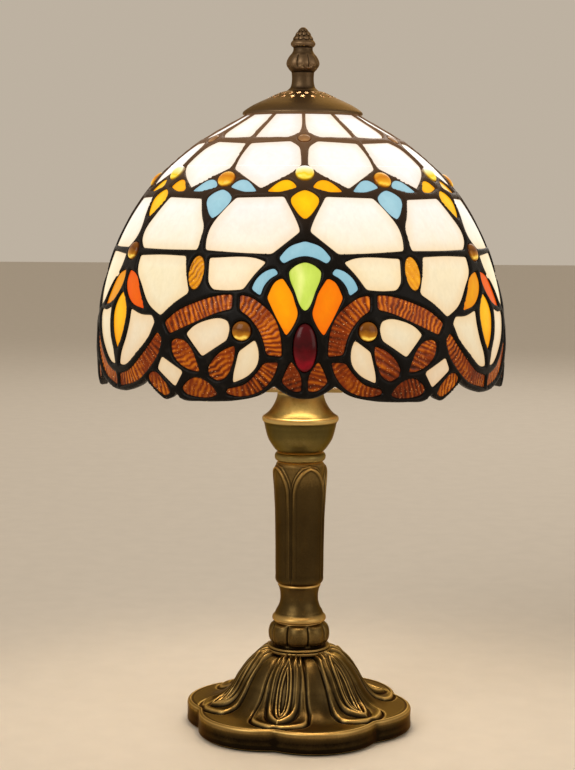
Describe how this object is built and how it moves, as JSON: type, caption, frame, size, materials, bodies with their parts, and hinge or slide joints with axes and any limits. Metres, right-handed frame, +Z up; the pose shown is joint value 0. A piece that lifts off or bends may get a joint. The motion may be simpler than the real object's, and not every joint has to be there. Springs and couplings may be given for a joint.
{
  "type": "stained glass table lamp",
  "caption": "Table lamp with a leaded glass dome shade of flowers, fans and scrolls on a cast bronze-finish column with a lobed leafy base.",
  "frame": {"origin": "centre of the underside of the base, where the lamp stands", "axes": "+Z up along the stem, front towards -Y, +X to the right seen from the front"},
  "size_m": [0.2038, 0.2038, 0.3515],
  "materials": {
    "felt": "matte felt",
    "antique_bronze": "antique bronze finish, rubbed golden on the high spots",
    "golden_bronze": "golden bronze finish, satin",
    "dark_bronze": "dark bronze finish, satin",
    "came": "black patina on solder, satin",
    "brass": "plain brass",
    "steel": "zinc plated",
    "nickel": "nickel plated",
    "black_rubber": "moulded",
    "porcelain": "glazed",
    "frosted_glass": "frosted",
    "cream_glass": "opalescent",
    "yellow_glass": "cathedral, streaky",
    "orange_glass": "cathedral, streaky",
    "blue_glass": "opalescent",
    "green_glass": "streaky",
    "ripple_glass": "rippled",
    "ruby_glass": "polished cabochon",
    "amber_glass": "polished jewel"
  },
  "bodies": {
    "stand": {"felt_pad": "felt", "base_casting": "antique_bronze", "cable_bush": "black_rubber", "base_washer": "steel", "base_nut": "steel", "threaded_pipe": "brass", "gadroon_knop": "antique_bronze", "neck_spool": "antique_bronze", "column_shaft": "antique_bronze", "neck_bead": "antique_bronze", "vase_cup": "golden_bronze", "harp_saddle": "brass", "saddle_nut": "steel", "holder_cap": "brass", "holder_shell": "brass", "holder_insulator": "porcelain", "screw_shell": "brass", "centre_contact": "brass", "harp_ferrules": "brass", "harp": "brass", "harp_stud": "brass", "seat_washer": "brass"},
    "shade": {"vented_cap": "dark_bronze", "aperture_ring": "came", "lead_network": "came", "crown_glass": "cream_glass", "shoulder_glass": "cream_glass", "crown_jewels": "amber_glass", "flower_jewels": "amber_glass", "amber_petals": "yellow_glass", "blue_petals": "blue_glass", "upper_field_glass": "cream_glass", "lower_field_glass": "cream_glass", "ripple_ovals": "ripple_glass", "fan_blue_glass": "blue_glass", "fan_green_drops": "green_glass", "fan_orange_petals": "orange_glass", "ruby_cabochons": "ruby_glass", "fan_feet": "ripple_glass", "scroll_bands": "ripple_glass", "scroll_leaves": "ripple_glass", "scroll_field_glass": "cream_glass", "scroll_jewels": "amber_glass", "lily_jewels": "amber_glass", "lily_petals": "orange_glass", "lily_centres": "yellow_glass", "lily_field_glass": "cream_glass", "lily_bands": "ripple_glass"},
    "finial_rise": {"finial_insert": "brass"},
    "finial_turn": {"finial": "dark_bronze"},
    "bulb_rise": {"bulb_contact": "brass"},
    "bulb_turn": {"bulb_glass": "frosted_glass", "bulb_screw_cap": "nickel"}
  },
  "joints": [
    {"name": "shade_spin", "type": "hinge", "parent": "stand", "child": "shade", "pos_m": [0, 0, 0.318], "axis": [0, 0, 1], "continuous": true},
    {"name": "finial_lift", "type": "slide", "parent": "stand", "child": "finial_rise", "axis": [0, 0, 1], "range_m": [0, 0.007]},
    {"name": "finial_screw", "type": "hinge", "parent": "finial_rise", "child": "finial_turn", "pos_m": [0, 0, 0.325], "axis": [0, 0, 1], "range_deg": [0, 2520]},
    {"name": "bulb_lift", "type": "slide", "parent": "stand", "child": "bulb_rise", "axis": [0, 0, 1], "range_m": [0, 0.0181]},
    {"name": "bulb_screw", "type": "hinge", "parent": "bulb_rise", "child": "bulb_turn", "pos_m": [0, 0, 0.22], "axis": [0, 0, 1], "range_deg": [0, 1800]}
  ],
  "couplings": [
    {"joint": "finial_screw", "follows": "finial_lift", "rad_per_m": 6283.2},
    {"joint": "bulb_screw", "follows": "bulb_lift", "rad_per_m": 1735.7}
  ]
}
